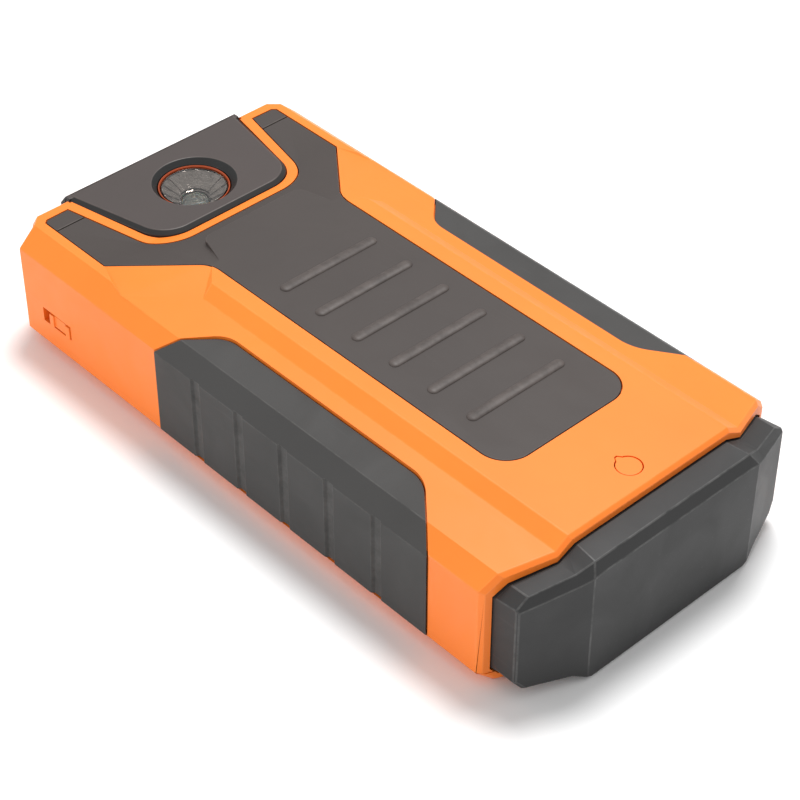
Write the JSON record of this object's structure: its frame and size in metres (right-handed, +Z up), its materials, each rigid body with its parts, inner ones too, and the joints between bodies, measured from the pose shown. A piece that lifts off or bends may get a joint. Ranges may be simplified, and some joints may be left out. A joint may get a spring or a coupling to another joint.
{
  "type": "jump starter pack",
  "caption": "Flat battery pack with orange housing, dark panel and rubber grips, a lamp, slide switch, power button, and a pull-off cap over its ports.",
  "frame": {"origin": "middle of the bottom of the whole pack, on the plane of the feet", "axes": "+X from the lamp end to the port end, +Z up, slide switch on the -Y side"},
  "size_m": [0.1818, 0.0896, 0.0367],
  "materials": {
    "housing": "satin orange, fine texture",
    "panel": "matt dark grey",
    "grip": "soft matt dark rubber",
    "foot": "matt black rubber",
    "cap": "matt dark soft plastic",
    "lens": "clear",
    "reflector": "metallised, facetted",
    "led": "phosphor under clear resin",
    "aluminium": "bare",
    "steel": "plated",
    "black": "moulded",
    "socket": "moulded blue",
    "board": "lacquered circuit board",
    "cell": "foil pouch",
    "foam": "closed-cell foam",
    "copper": "copper strip",
    "contact": "plated",
    "red_lead": "silicone insulation",
    "black_lead": "silicone insulation"
  },
  "bodies": {
    "pack": {"battery_cell_1": "cell", "battery_cell_2": "cell", "battery_cell_3": "cell", "bottom_cover": "housing", "button_board": "board", "capacitor": "black", "cell_link_1": "copper", "cell_link_2": "copper", "cell_pad_1": "foam", "cell_pad_2": "foam", "corner_plug_far": "panel", "corner_plug_near": "panel", "corner_screw_far": "steel", "corner_screw_near": "steel", "foot_1": "foot", "foot_2": "foot", "foot_3": "foot", "foot_4": "foot", "heat_sink": "aluminium", "housing_screw_1": "steel", "housing_screw_2": "steel", "housing_screw_3": "steel", "housing_screw_4": "steel", "inductor": "black", "jump_contact_negative": "contact", "jump_contact_positive": "contact", "jump_socket": "socket", "lamp_bezel": "housing", "lamp_lead": "black_lead", "lamp_lens": "lens", "lamp_panel": "panel", "led_board": "aluminium", "led_emitter": "led", "level_light_bar": "lens", "main_board": "board", "negative_lead": "black_lead", "port_panel": "panel", "positive_lead": "red_lead", "power_switch": "black", "reflector": "reflector", "side_grip_far": "grip", "side_grip_near": "grip", "slide_switch": "steel", "top_panel": "panel", "upper_housing": "housing", "usb_a_socket_1": "steel", "usb_a_socket_2": "steel", "usb_c_socket": "steel"},
    "slide_knob": {"slide_knob": "housing"},
    "power_button": {"power_button": "housing"},
    "end_cap": {"end_cap": "cap"}
  },
  "joints": [
    {"name": "lamp_switch_slide", "type": "slide", "parent": "pack", "child": "slide_knob", "axis": [-1, 0, 0], "range_m": [0, 0.0027]},
    {"name": "power_button_press", "type": "slide", "parent": "pack", "child": "power_button", "axis": [0, 0, -1], "range_m": [0, 0.0006], "stiffness_N_per_m": 600},
    {"name": "end_cap_pull", "type": "slide", "parent": "pack", "child": "end_cap", "axis": [1, 0, 0], "range_m": [0, 0.03]}
  ]
}
